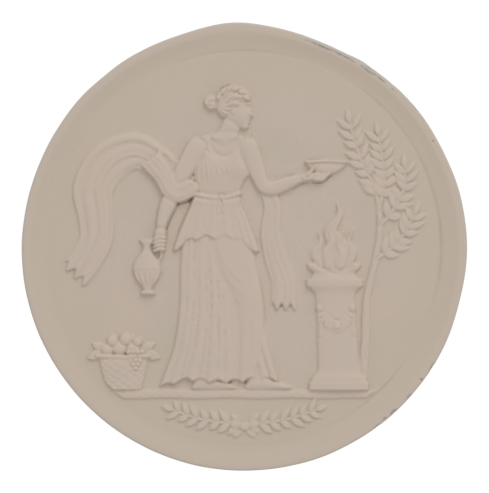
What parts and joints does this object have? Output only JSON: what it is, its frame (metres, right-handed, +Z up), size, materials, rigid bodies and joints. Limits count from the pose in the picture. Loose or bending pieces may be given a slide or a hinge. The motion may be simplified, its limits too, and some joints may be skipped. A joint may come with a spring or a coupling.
{
  "type": "porcelain plaque",
  "caption": "Round biscuit porcelain wall plaque with a raised rim and a low-relief figure scene, hung by a foot ring with cord holes.",
  "frame": {"origin": "on the foot ring's flat face at the back, at the top of the ring, between the two cord holes", "axes": "+Y into the wall, +Z up, +X to the right when the carved front is seen"},
  "size_m": [0.145, 0.0091, 0.1459],
  "materials": {
    "biscuit": "unglazed biscuit porcelain, fine matte grain, slightly aged"
  },
  "bodies": {
    "root": {"plaque": "biscuit"}
  },
  "joints": []
}
